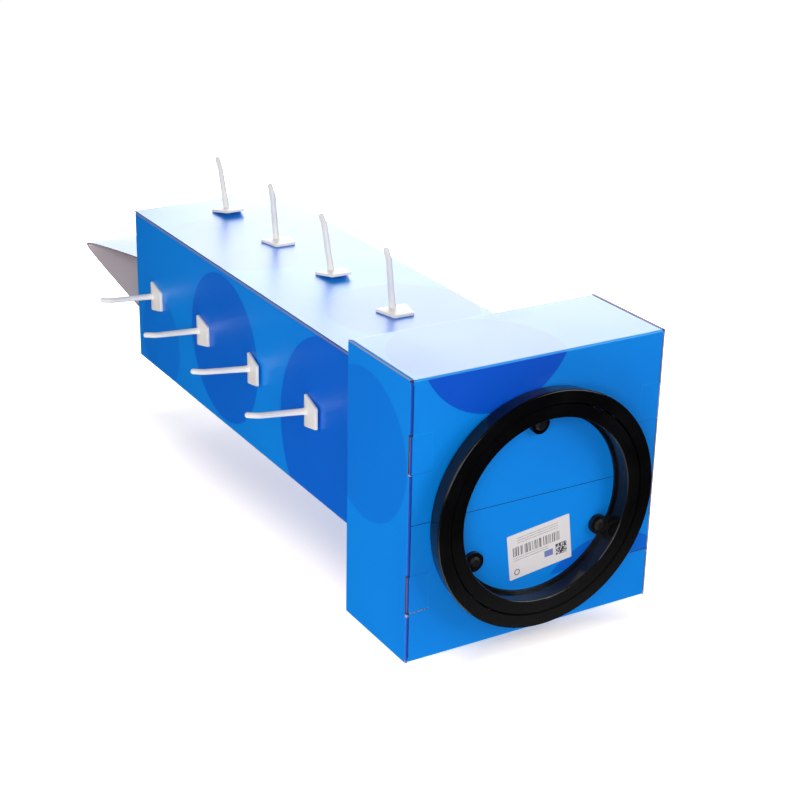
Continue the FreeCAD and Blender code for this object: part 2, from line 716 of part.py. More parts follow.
# Sticker
def make_label():
    """A plain paper sticker on the bottom flap, inside the turntable ring."""
    body = new_body("label")
    outline = new_sketch(body, "XY_Plane", "label_outline")
    rectangle(outline, "-label_width / 2", "label_width / 2", "-label_depth / 2", "label_depth / 2")
    sheet_pad = pad(body, outline, "label_sheet", "label_thick")
    rounded(body, sheet_pad, "label_corners", "label_round", upright)
    body.Placement.Rotation = FreeCAD.Rotation(FreeCAD.Vector(0, 0, 1), LABEL_TURN)
    place(body, across="label_right", back="label_back", up="ring_height - label_thick")
    return body


parts = [make_base_box(), make_column(), make_header_card()]
for face_name in FACES:
    for row_number in range(int(value("hook_rows"))):
        parts.append(make_hook(face_name, row_number))
parts += [make_outer_ring(), make_inner_ring(), make_balls(), make_rivets(), make_label()]
doc.recompute()

# Every object has to be whole before anything is written
for thing in doc.Objects:
    if "Invalid" in thing.State or "Error" in thing.State:
        raise RuntimeError(f"{thing.Name} failed: {thing.State}")
os.makedirs("parts", exist_ok=True)
for part in parts:
    shape = part.Shape
    if shape.isNull() or not shape.isValid() or not shape.Solids:
        raise RuntimeError(f"{part.Label} has no valid shape")
for part in parts:
    shape = part.Shape
    shape.exportStep(f"parts/{part.Label}.step")
    box = shape.BoundBox
    print(f"{part.Label:22s} solids {len(shape.Solids):2d} volume {shape.Volume / 1000:9.3f} cm3 "
          f"x {box.XMin:.1f}..{box.XMax:.1f} y {box.YMin:.1f}..{box.YMax:.1f} "
          f"z {box.ZMin:.1f}..{box.ZMax:.1f}")
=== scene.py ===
# %% [markdown]
# # A hook stand of printed card on a turntable
# The stand is a square column on a shallow box, both folded from printed corrugated card. A plastic
# turntable ring is under the box, sixteen moulded hooks stick out of the column, and a folded card
# stands on top of it. The flat-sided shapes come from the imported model. This lesson gives them their
# finishes, makes the curved pieces, and sets up the camera and the light.

# %% Load the frame
import math

import bpy
import numpy as np
from mathutils import Matrix, Vector


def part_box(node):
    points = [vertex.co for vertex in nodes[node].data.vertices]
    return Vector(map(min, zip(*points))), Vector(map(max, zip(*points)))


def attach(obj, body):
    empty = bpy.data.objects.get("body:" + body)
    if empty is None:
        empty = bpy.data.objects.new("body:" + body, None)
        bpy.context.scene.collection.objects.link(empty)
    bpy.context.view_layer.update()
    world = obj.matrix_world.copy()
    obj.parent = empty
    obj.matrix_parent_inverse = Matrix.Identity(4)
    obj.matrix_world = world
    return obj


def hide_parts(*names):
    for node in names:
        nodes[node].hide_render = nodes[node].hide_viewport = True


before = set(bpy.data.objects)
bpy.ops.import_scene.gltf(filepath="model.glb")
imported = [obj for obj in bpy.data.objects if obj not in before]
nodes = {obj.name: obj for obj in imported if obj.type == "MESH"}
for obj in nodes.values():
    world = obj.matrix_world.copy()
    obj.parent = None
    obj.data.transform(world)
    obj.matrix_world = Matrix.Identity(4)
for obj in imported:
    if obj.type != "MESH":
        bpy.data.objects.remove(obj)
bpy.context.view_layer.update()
scene = bpy.context.scene
scene.view_settings.view_transform = "Standard"

# %% [markdown]
# ## The camera
# The photograph shows the stand on its back, seen from under its base. The stand itself stays
# upright here, so the camera goes below it and looks up along the column. It is turned until the
# stand's front, -Y, points up in the picture. A camera looks down its own -Z axis, so its three axes
# are the columns of its matrix: right, up, and back from what it looks at.

# %% Camera
EYE = Vector((-0.7098, -0.5813, -0.9638))
LOOK_AT = Vector((0.05822, 0.04478, 0.31930))
FOCAL_LENGTH = 79.1
SENSOR_WIDTH = 36.0
FAR_LIMIT = 50.0
ROLL = math.radians(1.18)


def facing(eye, target, up, roll=0.0):
    """The matrix of something at eye whose -Z axis points at target, rolled about that axis."""
    back = (eye - target).normalized()
    right = up.cross(back).normalized()
    above = back.cross(right)
    turn = Matrix((right, above, back)).transposed().to_4x4()
    return Matrix.Translation(eye) @ turn @ Matrix.Rotation(roll, 4, "Z")


camera = bpy.data.objects.new("camera", bpy.data.cameras.new("camera"))
camera.data.lens = FOCAL_LENGTH
camera.data.sensor_width = SENSOR_WIDTH
camera.data.clip_end = FAR_LIMIT
camera.matrix_world = facing(EYE, LOOK_AT, Vector((0, -1, 0)), ROLL)
scene.collection.objects.link(camera)
scene.camera = camera
print("camera", round((LOOK_AT - EYE).length, 3), "m from the middle of the stand")

# %% [markdown]
# ## Shader maths as Python
# A material is a net of small nodes. Written out one by one, a formula such as the distance from a
# disc's centre takes a dozen lines. This class wraps one output socket, and its operators add the
# Math nodes, so the same formula reads like plain arithmetic.


# %% A socket that can be calculated with
class Shade:
    """One output of a node, in the material whose tree it belongs to."""

    def __init__(self, tree, socket=None):
        self.tree = tree
        self.socket = socket

    def make(self, kind, settings=None, values=None, out=0):
        """Adds a node: its settings first, then a value or a link for each socket."""
        node = self.tree.nodes.new(kind)
        for name, setting in (settings or {}).items():
            setattr(node, name, setting)
        for name, value in (values or {}).items():
            if isinstance(value, Shade):
                self.tree.links.new(value.socket, node.inputs[name])
            else:
                node.inputs[name].default_value = value
        return Shade(self.tree, node.outputs[out]) if len(node.outputs) else Shade(self.tree)

    def maths(self, operation, *values):
        return self.make("ShaderNodeMath", {"operation": operation}, dict(enumerate(values)))

    def __add__(self, other):
        return self.maths("ADD", self, other)

    __radd__ = __add__

    def __sub__(self, other):
        return self.maths("SUBTRACT", self, other)

    def __rsub__(self, other):
        return self.maths("SUBTRACT", other, self)

    def __mul__(self, other):
        return self.maths("MULTIPLY", self, other)

    __rmul__ = __mul__

    def __truediv__(self, other):
        return self.maths("DIVIDE", self, other)

    def __pow__(self, other):
        return self.maths("POWER", self, other)

    def __abs__(self):
        return self.maths("ABSOLUTE", self)

    def __lt__(self, other):
        return self.maths("LESS_THAN", self, other)

    def __gt__(self, other):
        return self.maths("GREATER_THAN", self, other)

    def __or__(self, other):
        return self.maths("MAXIMUM", self, other)

    def __and__(self, other):
        return self.maths("MINIMUM", self, other)

    def sine(self):
        return self.maths("SINE", self)

    def ramp(self, low, high):
        """0 at low, 1 at high, and a soft step between them. low may be above high."""
        values = {"Value": self, "From Min": low, "From Max": high}
        return self.make("ShaderNodeMapRange", {"interpolation_type": "SMOOTHSTEP"}, values)

    def blend(self, below, above):
        """A colour that goes from one to the other as this value goes from 0 to 1."""
        node = self.tree.nodes.new("ShaderNodeMix")
        node.data_type = "RGBA"
        sockets = [socket for socket in node.inputs if socket.type == "RGBA"]
        self.tree.links.new(self.socket, node.inputs["Factor"])
        for socket, colour in zip(sockets, (below, above)):
            if isinstance(colour, Shade):
                self.tree.links.new(colour.socket, socket)
            else:
                socket.default_value = (*colour, 1.0)
        return Shade(self.tree, next(s for s in node.outputs if s.type == "RGBA"))

    def noise(self, place, scale, detail=3.0, roughness=0.5):
        values = {"Vector": place, "Scale": scale, "Detail": detail, "Roughness": roughness}
        return self.make("ShaderNodeTexNoise", {}, values)

    def bump(self, height, distance, strength=1.0, normal=None):
        values = {"Height": height, "Distance": distance, "Strength": strength}
        if normal is not None:
            values["Normal"] = normal
        return self.make("ShaderNodeBump", {}, values)


# %% Starting and closing a material
FULL_TURN = 2.0 * math.pi


def new_material(name):
    """An empty material, a Shade to calculate with, and the object's own coordinates."""
    material = bpy.data.materials.new(name)
    material.use_nodes = True
    material.node_tree.nodes.clear()
    start = Shade(material.node_tree)
    place = start.make("ShaderNodeTexCoord", out="Object")
    split = start.make("ShaderNodeSeparateXYZ", {}, {"Vector": place}).socket.node
    axes = [Shade(material.node_tree, split.outputs[axis]) for axis in range(3)]
    return material, start, place, axes


def finish_surface(start, values):
    """The closing shader and the material's output."""
    shader = start.make("ShaderNodeBsdfPrincipled", {}, values)
    start.make("ShaderNodeOutputMaterial", {}, {"Surface": shader})


def dress(node, material):
    """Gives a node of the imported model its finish."""
    nodes[node].data.materials.clear()
    nodes[node].data.materials.append(material)
    print(node, "wears", material.name, "made of", len(material.node_tree.nodes), "shader nodes")


# %% [markdown]
# ## Printed card
# The card is brown board with a printed sheet glued on, under a thin glossy film. Three things make
# it look real. The print is a plain blue with darker discs that run on round the folds. The film
# mirrors a lamp at a low angle, and the flutes under it make that mirror faintly ribbed. Where the
# board is cut, its raw brown edge shows. All of it is placed by the object's own coordinates, so it
# stays put from every side. The film could be a second shell, but the shader's coat does the same.
# Its index of refraction is lower than a real film's, which keeps the blue deep where no lamp is
# mirrored.

# %% Sizes of the printed pieces, read from the model
box_low, box_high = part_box("base_box")
_, column_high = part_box("column")
BOX_X = box_high.x
BOX_Y = box_high.y
BOX_FLOOR = box_low.z
BOX_TOP = box_high.z
COLUMN_HALF = column_high.x
COLUMN_TOP = column_high.z
BOARD = 0.002  # thickness of the card
FOLD = 0.0016  # outside radius of a fold
FLUTE_PITCH = 0.0016  # from wave to wave of the flutes in a cut edge
RIB_PITCH = 0.0032  # from rib to rib of the gloss over the flutes
EDGE = 0.0004  # a point this near a face counts as on it
HAIR = 0.0001  # how far a mask stays clear of the next wall
print("box", round(BOX_X * 2, 4), round(BOX_Y * 2, 4), "column", round(COLUMN_HALF * 2, 4))

# %% Colours of the print, the board and the film, and of the painted highlights and shade
PRINT_BLUE = (0.0, 0.250, 0.84)
PRINT_DEEP = (0.0, 0.070, 0.60)
# A lighter blue, painted as a highlight on rounded folds, hinges and lit cut edges
FOLD_HIGHLIGHT_BLUE = (0.0, 0.38, 0.88)
# A dark navy, painted as shade in folds and grooves, and used for the thin drawn cut lines
SHADE_AND_CUT_NAVY = (0.0, 0.022, 0.34)
KRAFT = (0.50, 0.35, 0.29)
KRAFT_RED = (0.20, 0.085, 0.065)
# Kraft darkened by painted shade, for the column's raw edge, which faces away from the light
KRAFT_SEAM_SHADE = (0.16, 0.085, 0.06)
# Near-black board, painted as shade in slits, gaps, cuts and flute hollows
KRAFT_IN_SHADE = (0.035, 0.017, 0.014)
# A lit grey, painted on the cut edges at the box's right corners, where the light falls on them
LIT_LINER_GREY = (0.50, 0.47, 0.53)
FIBRE = (0.74, 0.68, 0.66)
FILM_ROUGHNESS = 0.36
FILM_IOR = 1.32
print("print", PRINT_BLUE, "and", PRINT_DEEP, "under film of roughness", FILM_ROUGHNESS)

# %% Masks


def disc(across, up, centre, radius):
    """1 inside a circle and 0 outside it, with an edge half a millimetre soft."""
    away = ((across - centre[0]) ** 2.0 + (up - centre[1]) ** 2.0) ** 0.5
    return away.ramp(radius + 0.00025, radius - 0.00025)


def band(value, low, high):
    """1 between two limits, and 0 outside them."""
    return (value > low) & (value < high)


def line(value, place, half_width):
    """A soft line of the given half width where value passes place."""
    return abs(value - place).ramp(half_width, half_width * 0.3)


def flutes(across, along):
    """The cut edge of the board: a wave between two liners.

    across runs from 0 to 1 through the board, and the wave's middle is at
    0.5 + 0.28 sin(2 pi along / pitch)."""
    wave = (along * (FULL_TURN / FLUTE_PITCH)).sine() * 0.28 + 0.5
    hollow = abs(across - wave).ramp(0.10, 0.22)
    return band(across, 0.14, 0.86) & hollow


# %% The printed card's material


def card(name, fields, layers, bare, ribs):
    """Printed and laminated board.

    fields lists the areas of darker print as (mask, strength), layers lists what lies over the print
    as (mask, colour), bare is 1 where there is no film, and ribs is the coordinate across the
    flutes."""
    material, start, place, (x, y, z) = new_material(name)
    printed = None
    for mask, strength in fields(x, y, z):
        share = mask * strength
        printed = share if printed is None else printed | share
    grain = start.noise(place, scale=900.0, detail=2.0)
    tone = start.noise(place, scale=8.0)
    colour = printed.blend(PRINT_BLUE, PRINT_DEEP)
    colour = (tone.ramp(0.35, 0.75) * 0.14).blend(colour, PRINT_DEEP)
    # The layers also lay painted highlights and painted shade over the print
    for mask, paint in layers(start, place, x, y, z):
        colour = mask.blend(colour, paint)
    open_board = bare(x, y, z)
    scuffs = start.noise(place, scale=30.0, detail=4.0, roughness=0.6).ramp(0.50, 0.85)
    gloss = FILM_ROUGHNESS + (tone - 0.5) * 0.08 + scuffs * 0.04 + (grain - 0.5) * 0.03
    wave = (ribs(x, y, z) * (FULL_TURN / RIB_PITCH)).sine()
    panel = start.noise(place, scale=6.0, detail=1.0)
    normal = start.bump(panel, distance=0.0045)
    normal = start.bump(wave, distance=0.000008, normal=normal)
    normal = start.bump(grain, distance=0.00001, strength=0.5, normal=normal)
    finish_surface(start, {
        "Base Color": colour,
        "Roughness": gloss + open_board * 0.5,
        "Coat Weight": (1.0 - open_board) * (0.9 + tone * 0.1),
        "Coat Roughness": FILM_ROUGHNESS,
        "Coat IOR": FILM_IOR,
        "IOR": FILM_IOR,
        "Normal": normal,
    })
    return material


# %% [markdown]
# ## The base box
# The bottom of the box is two flaps that meet in the middle. Each flap is held by two tongues that
# go through the side panels. A tongue is a strip between two short knife cuts, so those four pairs
# of cuts show on the bottom. The side panels end in a raw edge at the box's front and back corners,
# and their lower folds are in the dark between two bright faces, so that dark is painted on as
# shade. The rounded folds and the tongues' hinges get a painted highlight, and the slits, the cuts'
# openings and the flute hollows a painted shade. The open slits are in the packed model. Cuts that
# the knife only scores are too thin for that, so they are drawn.

# %% Print of the base box
TONGUE_NEAR, TONGUE_FAR = 0.0415, 0.0725  # a tongue's two cuts, from the seam of the flaps
TONGUE = 0.019  # from the box's side to the end of those cuts


def box_fields(x, y, z):
    floor_side = z < BOX_FLOOR + EDGE
    roof = z > BOX_TOP - EDGE
    left = x < -BOX_X + EDGE
    right = x > BOX_X - EDGE
    front = y < -BOX_Y + EDGE
    rear = y > BOX_Y - EDGE
    first, first_radius = (-0.0395, -0.1447), 0.068
    second, second_radius = (0.0708, 0.1242), 0.075
    side, side_radius = (-0.041, 0.082), 0.061
    over_front = (first[0], BOX_FLOOR - BOX_Y - first[1])
    over_roof = (side[1] - BOX_TOP - BOX_X, side[0])
    return [
        (floor_side & disc(x, y, first, first_radius), 0.90),
        (floor_side & (y < TONGUE_FAR) & disc(x, y, second, second_radius), 0.60),
        (front & disc(x, z, over_front, first_radius), 0.28),
        (left & disc(y, z, side, side_radius), 0.30),
        (roof & disc(x, y, over_roof, side_radius), 0.30),
        (right & disc(y, z, (0.052, 0.030), 0.060), 0.45),
        (rear & disc(x, z, (-0.034, 0.090), 0.060), 0.45),
    ]


# %% Open edges of the base box


def box_corner(x, y):
    """The side panels' cut ends at the box's four upright corners."""
    return (abs(x) > BOX_X - BOARD - HAIR * 0.5) & (abs(y) > BOX_Y - HAIR * 1.5)


def box_inside(x, y, z):
    """Walls of the slits round the bottom flaps, the tongues' ends and the column's hole."""
    slits = band(z, BOX_FLOOR + HAIR, BOX_FLOOR + BOARD - HAIR)
    slits = slits & (abs(x) < BOX_X - BOARD + HAIR * 0.5) & (abs(y) < BOX_Y - BOARD)
    hole = band(z, BOX_TOP - BOARD, BOX_TOP - HAIR) & (abs(x) < BOX_X - 0.01)
    return slits | (hole & (abs(y) < BOX_Y - 0.01))


def box_tongue_end(x, y, z):
    """The tongues' ends, which show in the side panels."""
    ends = band(abs(y), TONGUE_NEAR - HAIR, TONGUE_FAR + HAIR) & (z < BOX_FLOOR + BOARD)
    return ends & (abs(x) > BOX_X - 0.00045)


def box_bare(x, y, z):
    return box_corner(x, y) | box_inside(x, y, z) | box_tongue_end(x, y, z)


# %% Folds, cuts and frayed corners of the base box, with painted highlights and shade


def box_layers(start, place, x, y, z):
    floor_side = z < BOX_FLOOR + EDGE
    low = z < BOX_FLOOR + FOLD
    fold = (abs(y) > BOX_Y - 0.0014) & low & (abs(x) < BOX_X - BOARD)
    under_fold_shade = (abs(x) > BOX_X - BOARD + HAIR) & z.ramp(BOX_FLOOR + 0.0014, BOX_FLOOR + 0.0003)
    reach = floor_side & (abs(x) > BOX_X - TONGUE) & (abs(x) < BOX_X - BOARD)
    near = line(abs(y), TONGUE_NEAR, 0.0005) & reach
    far = line(abs(y), TONGUE_FAR, 0.0006) & reach
    hinge = line(abs(x), BOX_X - TONGUE, 0.0007) & band(abs(y), TONGUE_NEAR, TONGUE_FAR) & floor_side
    fray = start.noise(place, scale=1400.0, roughness=0.6).ramp(0.48, 0.60)
    at_corner = (abs(x) > BOX_X - 0.0023) & (z < BOX_FLOOR + 0.0022)
    frayed = line(y, TONGUE_FAR + 0.0022, 0.0018) | line(y, -TONGUE_NEAR, 0.0010)
    torn = (frayed | (y > BOX_Y - 0.0024)) & at_corner & fray
    gap_shade = line(abs(y), TONGUE_FAR, 0.0011) | line(y, TONGUE_NEAR, 0.0009) | (y < -BOX_Y + 0.0014)
    through = (BOX_X - abs(x)) / BOARD
    edge = flutes(through, z)
    lit_half_liner = through.ramp(0.50, 0.62).blend(KRAFT, (x > 0.0).blend(FOLD_HIGHLIGHT_BLUE, LIT_LINER_GREY))
    return [
        # painted highlight along the rounded bottom folds at the front and back
        (fold * 0.55, FOLD_HIGHLIGHT_BLUE),
        # painted shade on the side panels' lower folds: navy on the left; on the right, where light
        # falls, plain kraft brown
        (under_fold_shade * 0.9, (x > 0.0).blend(SHADE_AND_CUT_NAVY, KRAFT)),
        # the near knife cuts, drawn as thin lines of the shade navy
        (near * 0.30, SHADE_AND_CUT_NAVY),
        # painted highlight along the tongues' hinges
        (hinge * 0.18, FOLD_HIGHLIGHT_BLUE),
        # the far cuts at the back, painted as shade in the cut
        ((far & (y > 0.0)) * 0.85, KRAFT_IN_SHADE),
        # the far cuts at the front, painted as a highlight on the cut's edge
        ((far & (y < 0.0)) * 0.45, FOLD_HIGHLIGHT_BLUE),
        ((far & (y > 0.0) & fray & (x < 0.0)) * 0.6, FIBRE),
        # painted shade on the walls of the slits and of the column's hole
        (box_inside(x, y, z), KRAFT_IN_SHADE),
        # the tongues' ends: red-brown board below, and painted shade in the slot's opening above
        (box_tongue_end(x, y, z), (z > BOX_FLOOR + 0.0011).blend(KRAFT_RED, KRAFT_IN_SHADE)),
        # the corners' cut edges: painted shade in the flute hollows, and a painted highlight on the
        # inner liner, blue on the left and lit grey on the right
        (box_corner(x, y), (edge * 0.35).blend(lit_half_liner, KRAFT_IN_SHADE)),
        # painted shade in the openings of the cuts at the corners
        ((gap_shade & at_corner) * 0.9, KRAFT_IN_SHADE),
        (torn * 0.9, FIBRE),
    ]


def box_ribs(x, y, z):
    """The flutes are upright in the walls, and run along Y in the top and the bottom."""
    wall = band(z, BOX_FLOOR + EDGE, BOX_TOP - EDGE)
    return (x + y) * wall + x * (1.0 - wall)


dress("base_box", card("printed card, box", box_fields, box_layers, box_bare, box_ribs))

# %% [markdown]
# ## The column
# The column is one sheet folded round four times and glued at its front left corner. There the cut
# edge of the front panel shows as a thin dark brown line from top to bottom, its brown darkened by a
# painted shade. The discs of the print run over the back left fold. The imported model has the
# groove at the glued corner and the slits behind the hooks, so the faces need their print, the raw
# board its colour, a painted highlight on the folds, and a painted shade in the groove and along the
# line round the top.

# %% Print of the column


def column_fields(x, y, z):
    left = x < -COLUMN_HALF + EDGE
    right = x > COLUMN_HALF - EDGE
    front = y < -COLUMN_HALF + EDGE
    rear = y > COLUMN_HALF - EDGE
    low, low_radius = (0.0209, 0.1978), 0.0978
    middle, middle_radius = (0.0008, 0.4104), 0.0706
    high, high_radius = (0.0412, 0.5577), 0.0458
    over_low = (low[0] - 2.0 * COLUMN_HALF, low[1])
    return [
        (left & disc(y, z, low, low_radius), 0.62),
        (left & disc(y, z, middle, middle_radius), 0.58),
        (left & disc(y, z, high, high_radius), 0.30),
        (rear & disc(x, z, over_low, low_radius), 0.62),
        (rear & disc(x, z, (0.022, 0.385), 0.062), 0.55),
        (rear & disc(x, z, (-0.034, 0.545), 0.040), 0.45),
        (right & disc(y, z, (0.018, 0.300), 0.070), 0.55),
        (right & disc(y, z, (-0.030, 0.500), 0.055), 0.55),
        (front & disc(x, z, (0.012, 0.240), 0.066), 0.30),
        (front & disc(x, z, (-0.026, 0.470), 0.084), 0.25),
    ]


# %% Raw edge and inside of the column
RAW_SHARE = 0.42  # share of the board's thickness that shows raw at the glued corner


def column_inside(x, y, z):
    within = (abs(x) < COLUMN_HALF - HAIR) & (abs(y) < COLUMN_HALF - HAIR)
    return within & (z < COLUMN_TOP - HAIR)


def column_seam(x, y):
    """The front panel's cut edge and the groove beside it, at the front left corner."""
    near_corner = (x < -COLUMN_HALF + 0.0015) & (y < -COLUMN_HALF + 0.0034)
    return near_corner & (y > -COLUMN_HALF + 0.00012)


def column_layers(start, place, x, y, z):
    from_front = (y + COLUMN_HALF) / BOARD
    raw = column_seam(x, y) & (from_front < RAW_SHARE)
    top = z > COLUMN_TOP - EDGE
    lid = line(abs(x) | abs(y), COLUMN_HALF - BOARD, 0.0004) & top
    folds = (abs(x) > COLUMN_HALF - 0.0012) & (abs(y) > COLUMN_HALF - 0.0012)
    return [
        # painted highlight along the four folds
        (folds * 0.4, FOLD_HIGHLIGHT_BLUE),
        (column_inside(x, y, z), KRAFT),
        # painted shade in the groove at the glued corner
        (column_seam(x, y) * 0.2, SHADE_AND_CUT_NAVY),
        # the raw edge: kraft darkened by painted shade, with its flute hollows in painted shade
        (raw, (flutes(from_front, z) * 0.6).blend(KRAFT_SEAM_SHADE, KRAFT_IN_SHADE)),
        # painted shade along the line round the top
        (lid * 0.6, SHADE_AND_CUT_NAVY),
    ]


def column_bare(x, y, z):
    return column_inside(x, y, z) | (column_seam(x, y) & (y < -COLUMN_HALF + BOARD * RAW_SHARE))


def column_ribs(x, y, z):
    """The flutes are upright, so the ribs follow each other along X or along Y."""
    return x + y


dress("column", card("printed card, column", column_fields, column_layers, column_bare, column_ribs))

# %% [markdown]
# ## Pieces from arrays
# The header card and the hooks are curved, so they are worked out here as grids of points: one array
# for each side of a sheet, or rings along a path. Faces come from the same grid numbers, and the sum
# of their signed volumes tells whether they point outwards. If it is negative, all are turned round.

# %% A piece from points and faces
SHARP_ANGLE = math.radians(35.0)


def signed_volume(points, faces):
    """The sum over all faces of corner0 . (corner1 x corner2) / 6, with quads as two triangles."""
    a, b, c, d = (points[faces[:, k]] for k in range(4))
    first = np.einsum("ij,ij->i", a, np.cross(b, c))
    second = np.einsum("ij,ij->i", a, np.cross(c, d))
    return float((first + second).sum() / 6.0)


def oriented(points, faces):
    """The faces, turned round if they point inwards."""
    return faces if signed_volume(points, faces) > 0.0 else faces[:, ::-1]


def new_piece(name, points, faces, material, body, instead_of, depth=None):
    """A mesh whose quads may have a repeated corner at a pole. depth is an optional attribute."""
    faces = oriented(points, faces)
    keep = faces != np.roll(faces, 1, axis=1)
    totals = keep.sum(axis=1)
    corners = faces[keep]
    mesh = bpy.data.meshes.new(name)
    mesh.vertices.add(len(points))
    mesh.vertices.foreach_set("co", points.astype(np.float32).ravel())
    mesh.loops.add(len(corners))
    mesh.loops.foreach_set("vertex_index", corners.astype(np.int32))
    mesh.polygons.add(len(totals))
    mesh.polygons.foreach_set("loop_start", (np.cumsum(totals) - totals).astype(np.int32))
    mesh.polygons.foreach_set("use_smooth", np.ones(len(totals), dtype=bool))
    mesh.update(calc_edges=True)
    mesh.validate()
    mesh.set_sharp_from_angle(angle=SHARP_ANGLE)
    if depth is not None:
        layer = mesh.attributes.new("depth", "FLOAT", "POINT")
        layer.data.foreach_set("value", depth.astype(np.float32))
    mesh.materials.append(material)
    piece = bpy.data.objects.new(name, mesh)
    scene.collection.objects.link(piece)
    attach(piece, body)
    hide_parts(instead_of)


# %% Closed shapes from grids


def closed_sheet(outer, inner):
    """Points, faces and depth of a sheet between two grids of points, closed round its rim.

    The grids are (rows, columns, 3), and depth is 0 on the outer side and 1 on the inner one."""
    rows, columns = outer.shape[:2]
    number = np.arange(rows * columns).reshape(rows, columns)
    count = number.size
    face = np.stack([number[:-1, :-1], number[:-1, 1:], number[1:, 1:], number[1:, :-1]], axis=-1)
    face = face.reshape(-1, 4)
    rim = np.concatenate([number[0], number[1:, -1], number[-1, -2::-1], number[-2:0:-1, 0]])
    after = np.roll(rim, -1)
    side = np.stack([after, rim, rim + count, after + count], axis=-1)
    points = np.concatenate([outer.reshape(-1, 3), inner.reshape(-1, 3)])
    depth = np.concatenate([np.zeros(count), np.ones(count)])
    return points, np.concatenate([face, face[:, ::-1] + count, side]), depth


def rings_to_shell(rings):
    """Points and faces of a closed shell through rings of points, the array being (rings, points, 3).

    The first and the last ring are points, each repeated all the way round."""
    count, around = rings.shape[:2]
    number = np.arange(count * around).reshape(count, around)
    number[0] = number[0, 0]
    number[-1] = number[-1, 0]
    after = np.roll(number, -1, axis=1)
    faces = np.stack([number[:-1], after[:-1], after[1:], number[1:]], axis=-1).reshape(-1, 4)
    used, places = np.unique(faces, return_inverse=True)
    return rings.reshape(-1, 3)[used], places.reshape(faces.shape)


def joined(shells):
    """Several shells as one set of points and faces, each with its faces outwards."""
    starts = np.cumsum([0] + [len(points) for points, _ in shells[:-1]])
    faces = [oriented(*shell) + start for shell, start in zip(shells, starts)]
    return np.concatenate([points for points, _ in shells]), np.concatenate(faces)


# %% [markdown]
# ## The header card
# The header is a lighter card, printed outside and bare grey inside. It is folded over a ridge, and
# its two legs bow outwards a little, as card does when it is held at its foot. A straight-sided
# solid can't show that bow. A curve that is straight far from the ridge and round at it is a
# hyperbola, and a power a little over one bends its legs.

# %% Shape of the header card
HEADER_BOARD = 0.0015  # thickness of the card
HEADER_CROWN = 0.0042  # from the highest point down to the ridge's inner side
HEADER_MIDDLE = -0.002  # the ridge's place along Y
HEADER_FOOT = 0.0265  # from there to a leg's outer face
HEADER_SEAT = 0.00002  # air between a leg and the column
HEADER_SWELL = 0.0005  # how far a leg swells out in mid-width
HEADER_RIDGE = 0.003
HEADER_BOW = 1.09
TONGUE_HALF = 0.060
TONGUE_DEEP = 0.018
_, header_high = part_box("header_card")
HEADER_RISE = header_high.z - COLUMN_TOP


def tent(foot, rise, columns=49, steps=61):
    """The tent as a function of where it is along X and across Y.

    With s = sqrt(y^2 + r^2) - r, its height is rise (1 - (s / s_foot)^bow). y runs from -foot to
    foot, close together at the ridge, and the legs swell by half a millimetre in mid-width."""
    u = np.linspace(-1.0, 1.0, steps)
    y = foot * np.sign(u) * np.abs(u) ** 1.8
    x = np.linspace(-COLUMN_HALF, COLUMN_HALF, columns)
    grid_y, grid_x = np.meshgrid(y, x, indexing="ij")
    away = np.sqrt(grid_y ** 2 + HEADER_RIDGE ** 2) - HEADER_RIDGE
    last = math.sqrt(foot ** 2 + HEADER_RIDGE ** 2) - HEADER_RIDGE
    height = rise * (1.0 - (away / last) ** HEADER_BOW)
    swell = np.cos(np.pi * grid_x / (2.0 * COLUMN_HALF)) * np.sin(np.pi * height / rise) * HEADER_SWELL
    return np.stack([grid_x, HEADER_MIDDLE + grid_y + np.sign(grid_y) * swell,
                     COLUMN_TOP + HEADER_SEAT + height], axis=-1)


def tongue(sign):
    """A leg's tongue, x by z: a flat strip that goes down into the column's slot."""
    x = np.linspace(-TONGUE_HALF, TONGUE_HALF, 25)
    z = np.linspace(COLUMN_TOP - TONGUE_DEEP, COLUMN_TOP + HEADER_SEAT, 7)
    grid_z, grid_x = np.meshgrid(z, x, indexing="ij")
    sides = [HEADER_MIDDLE + sign * (HEADER_FOOT - inset) for inset in (HAIR, HEADER_BOARD)]
    return [np.stack([grid_x, np.full_like(grid_x, side), grid_z], axis=-1) for side in sides]


header_parts = [closed_sheet(tent(HEADER_FOOT, HEADER_RISE - HEADER_SEAT),
                             tent(HEADER_FOOT - HEADER_BOARD, HEADER_RISE - HEADER_CROWN)),
                closed_sheet(*tongue(-1.0)), closed_sheet(*tongue(1.0))]
header_points, header_faces = joined([part[:2] for part in header_parts])
header_depth = np.concatenate([depth for _, _, depth in header_parts])
print("header card", len(header_points), "points, highest", round(float(header_points[:, 2].max()), 4))

# %% [markdown]
# The shader has to know the print from the bare side. A coordinate can't tell them apart near the
# ridge, so the sheet carries its own depth: 0 outside, 1 inside, and what is between is the cut rim.

# %% Finish of the header card
HEADER_BARE = (0.80, 0.74, 0.77)
HEADER_SHADE = (0.66, 0.60, 0.63)
RIM_LIGHT = (0.30, 0.20, 0.17)
RIM_DARK = (0.12, 0.08, 0.07)


